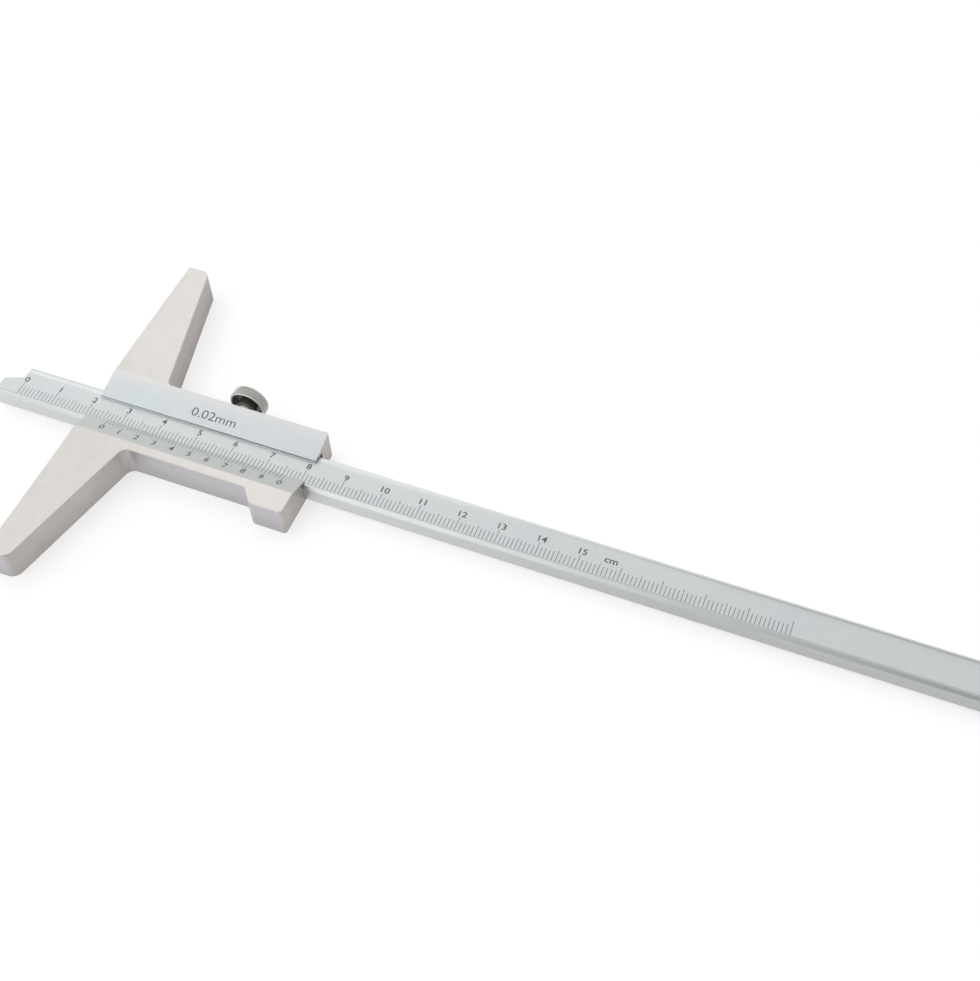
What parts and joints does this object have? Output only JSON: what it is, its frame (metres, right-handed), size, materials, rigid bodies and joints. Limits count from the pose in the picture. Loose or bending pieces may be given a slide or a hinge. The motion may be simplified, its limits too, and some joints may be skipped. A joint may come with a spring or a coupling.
{
  "type": "vernier depth gauge",
  "caption": "Vernier depth gauge: a graduated beam with a stepped nose slides through a T-shaped base with tapered wings, a bevelled vernier window and a knurled lock screw.",
  "frame": {"origin": "depth datum: where the plane of the measuring face, the vertical mid-plane of the beam and the plane of the back face meet", "axes": "+X along the beam, the way its numbers grow, so its tip points to -X; +Y along the base towards the lock screw; +Z out of the graduated face"},
  "size_m": [0.26, 0.0984, 0.0097],
  "materials": {
    "frame_steel": "ground, satin",
    "beam_chrome": "satin chrome",
    "cover_steel": "satin chrome",
    "screw_steel": "turned, oiled",
    "gib_bronze": "rolled bronze",
    "lock_nickel": "knurled, dull nickel"
  },
  "bodies": {
    "frame": {"base_frame": "frame_steel", "back_cover": "cover_steel", "back_cover_screws": "screw_steel", "gib_set_screws": "screw_steel"},
    "beam": {"depth_beam": "beam_chrome"},
    "gib": {"gib_strip": "gib_bronze"},
    "lock": {"lock_screw": "lock_nickel"}
  },
  "joints": [
    {"name": "beam_slide", "type": "slide", "parent": "frame", "child": "beam", "axis": [-1, 0, 0], "range_m": [-0.027, 0.123]},
    {"name": "gib_press", "type": "slide", "parent": "frame", "child": "gib", "axis": [0, -1, 0], "range_m": [-0.00015, 0.0001]},
    {"name": "lock_turn", "type": "hinge", "parent": "gib", "child": "lock", "pos_m": [0.0353, 0.01345, 0.00495], "axis": [0, -1, 0], "range_deg": [-90.5, 60.5]}
  ],
  "couplings": [
    {"joint": "lock_turn", "follows": "gib_press", "rad_per_m": 10472}
  ]
}
